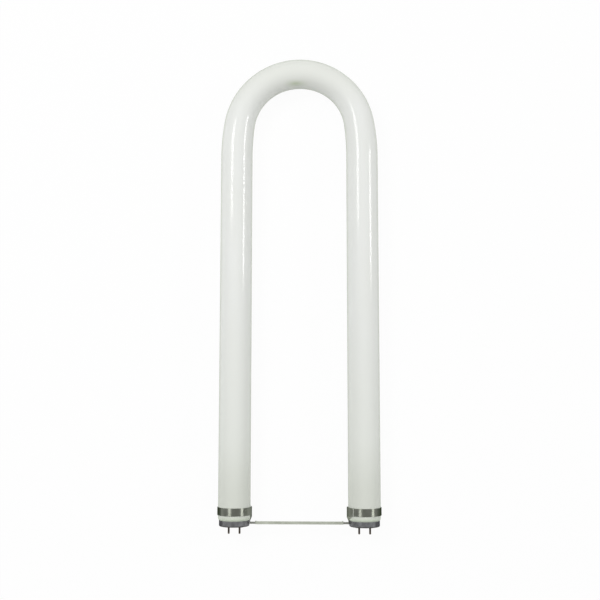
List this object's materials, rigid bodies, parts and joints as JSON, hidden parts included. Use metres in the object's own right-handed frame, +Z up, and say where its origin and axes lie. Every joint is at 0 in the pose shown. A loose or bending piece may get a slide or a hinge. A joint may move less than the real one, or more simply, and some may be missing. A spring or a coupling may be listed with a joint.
{
  "type": "u shaped fluorescent bulb",
  "caption": "Sealed white glass tube bent into a U, with bi-pin metal caps and a steel spacer bar clamped across the legs.",
  "frame": {"origin": "middle of the footprint, on the surface that the lamp lies on", "axes": "+X across the two legs, +Y from the pin tips to the bend, +Z up from the surface"},
  "size_m": [0.1922, 0.5716, 0.0398],
  "materials": {
    "coated_glass": "clear glass over a white powder coat, glossy",
    "cap_aluminium": "drawn, satin",
    "basing_cement": "baked resin cement, matt",
    "insulator": "moulded phenolic, matt",
    "pin_brass": "tarnished, satin",
    "lead_wire": "drawn wire",
    "band_steel": "rolled strip, bright",
    "spacer_steel": "zinc plated, dull"
  },
  "bodies": {
    "root": {"glass_tube": "coated_glass", "left_basing_cement": "basing_cement", "left_clamp_band": "band_steel", "left_end_cap": "cap_aluminium", "left_inner_lead_wire": "lead_wire", "left_inner_pin": "pin_brass", "left_outer_lead_wire": "lead_wire", "left_outer_pin": "pin_brass", "left_pin_plate": "insulator", "right_basing_cement": "basing_cement", "right_clamp_band": "band_steel", "right_end_cap": "cap_aluminium", "right_inner_lead_wire": "lead_wire", "right_inner_pin": "pin_brass", "right_outer_lead_wire": "lead_wire", "right_outer_pin": "pin_brass", "right_pin_plate": "insulator", "spacer_bar": "spacer_steel"}
  },
  "joints": []
}
